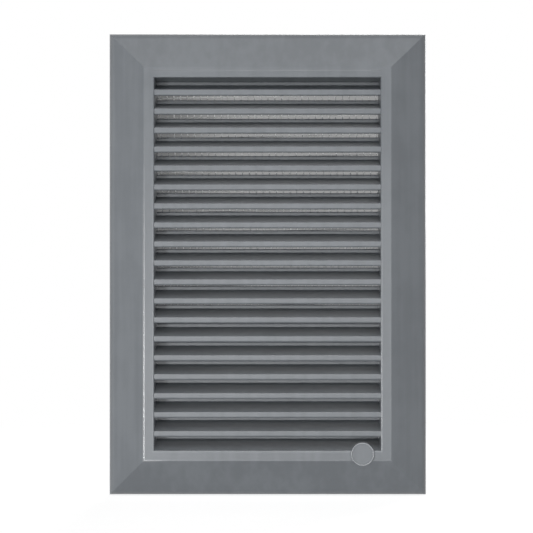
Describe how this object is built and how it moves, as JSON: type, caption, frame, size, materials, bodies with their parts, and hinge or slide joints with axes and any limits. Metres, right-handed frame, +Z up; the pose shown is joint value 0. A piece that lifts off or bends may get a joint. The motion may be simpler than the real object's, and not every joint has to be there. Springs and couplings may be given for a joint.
{
  "type": "louvred vent",
  "caption": "Rectangular louvred wall vent: a sloping moulded frame with fixed blades, a collar that enters the wall and an insect net behind the blades.",
  "frame": {"origin": "middle of the vent on the plane of the wall that the border rests on", "axes": "+Z up, -Y out of the front into the room, +Y through the wall, +X to the right seen from the front"},
  "size_m": [0.165, 0.0242, 0.24],
  "materials": {
    "grey_plastic": "satin moulded graphite grey",
    "white_net": "matt white strands"
  },
  "bodies": {
    "root": {"grille": "grey_plastic", "insect_net": "white_net"}
  },
  "joints": []
}
